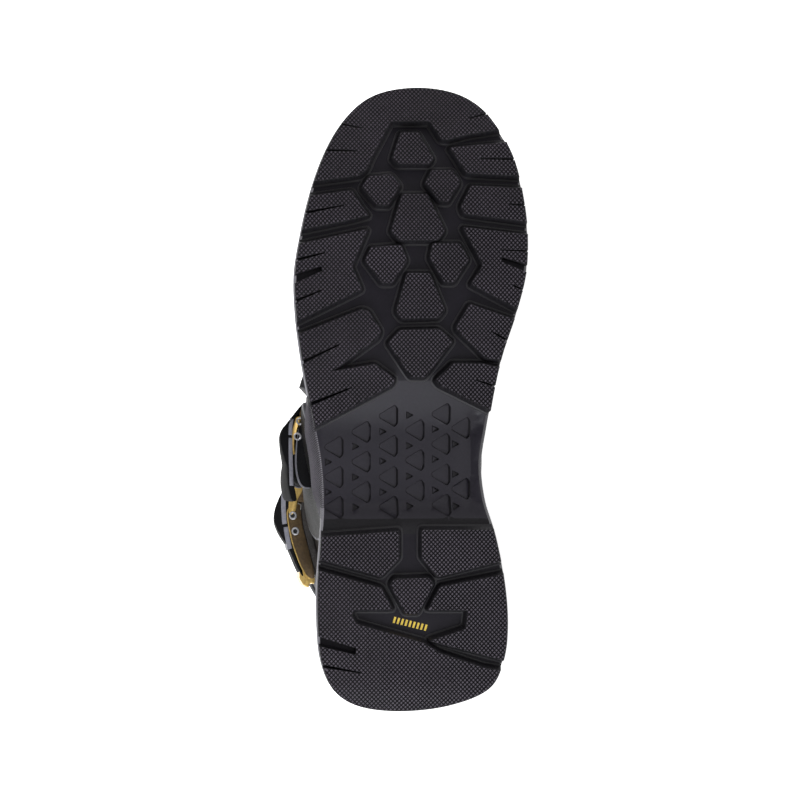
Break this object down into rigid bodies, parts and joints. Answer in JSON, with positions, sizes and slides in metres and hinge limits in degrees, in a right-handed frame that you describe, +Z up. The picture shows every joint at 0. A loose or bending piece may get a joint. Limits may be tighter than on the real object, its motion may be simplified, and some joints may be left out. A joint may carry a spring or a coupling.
{
  "type": "motorcycle boot",
  "caption": "Tall riding boot for the right foot with a deep lugged sole, side guards, buckled straps and an open shaft, lying on its inner side.",
  "frame": {"origin": "middle of the footprint of the lying boot, on the floor", "axes": "+Z up from the floor, which is towards the boot's outer side, +Y towards the toe, +X out of the tread, so the shaft points to -X"},
  "size_m": [0.353, 0.3274, 0.1299],
  "materials": {
    "tread_rubber": "matt charcoal rubber with a faint sheen on its edges",
    "insole_foam": "grey foam board under cloth",
    "shaft_leather": "dark brown-grey grained leather",
    "guard_plastic": "black satin moulded plastic",
    "collar_fabric": "black woven cloth over foam",
    "strap_plastic": "black satin plastic band",
    "buckle_gold": "gold anodised metal",
    "buckle_bronze": "bronze coloured metal with worn bright edges",
    "pin_steel": "bright steel"
  },
  "bodies": {
    "root": {"outsole": "tread_rubber", "insole": "insole_foam", "upper": "shaft_leather", "toe_cap": "guard_plastic", "heel_counter": "guard_plastic", "ankle_guard": "guard_plastic", "shin_plate": "guard_plastic", "heat_guard": "guard_plastic", "calf_panel": "guard_plastic", "collar_cuff": "collar_fabric", "pull_loop": "collar_fabric", "instep_strap": "strap_plastic", "instep_buckle_base": "buckle_bronze", "instep_buckle_lever": "buckle_gold", "instep_buckle_cover": "guard_plastic", "instep_pin_1": "pin_steel", "instep_pin_2": "pin_steel", "ankle_strap": "strap_plastic", "ankle_buckle_base": "buckle_bronze", "ankle_buckle_lever": "buckle_gold", "ankle_buckle_cover": "guard_plastic", "ankle_pin_1": "pin_steel", "ankle_pin_2": "pin_steel", "shin_strap": "strap_plastic", "shin_buckle_base": "buckle_bronze", "shin_buckle_lever": "buckle_gold", "shin_buckle_cover": "guard_plastic", "shin_pin_1": "pin_steel", "shin_pin_2": "pin_steel"}
  },
  "joints": []
}
